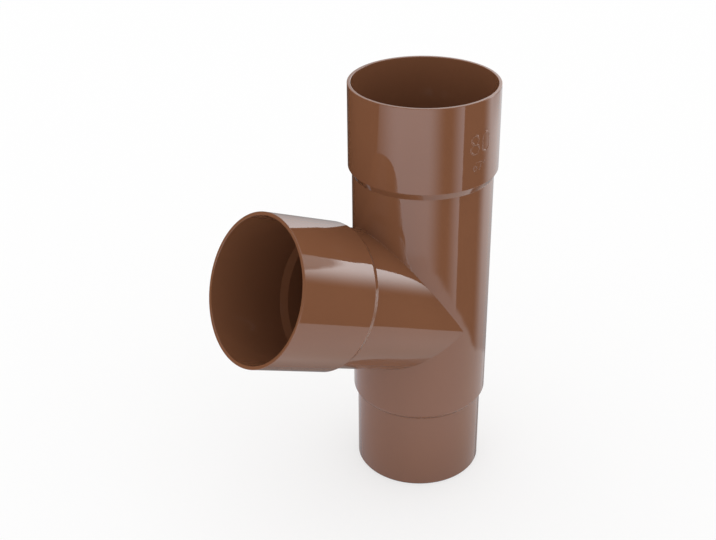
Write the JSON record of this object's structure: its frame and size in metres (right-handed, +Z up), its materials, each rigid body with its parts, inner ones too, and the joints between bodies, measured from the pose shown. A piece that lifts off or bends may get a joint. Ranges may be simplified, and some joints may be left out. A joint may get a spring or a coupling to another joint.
{
  "type": "downpipe branch",
  "caption": "Brown moulded plastic branch for a round rainwater downpipe, with sockets on top and on a slanted side arm and a spigot below.",
  "frame": {"origin": "centre of the spigot's end face, on the main tube's axis", "axes": "+Z up along the main tube towards the top socket, +X the side to which the branch leaves and rises, Y across"},
  "size_m": [0.1722, 0.0844, 0.2462],
  "materials": {
    "brown_plastic": "smooth glossy brown, coloured through"
  },
  "bodies": {
    "root": {"downpipe_branch": "brown_plastic"}
  },
  "joints": []
}
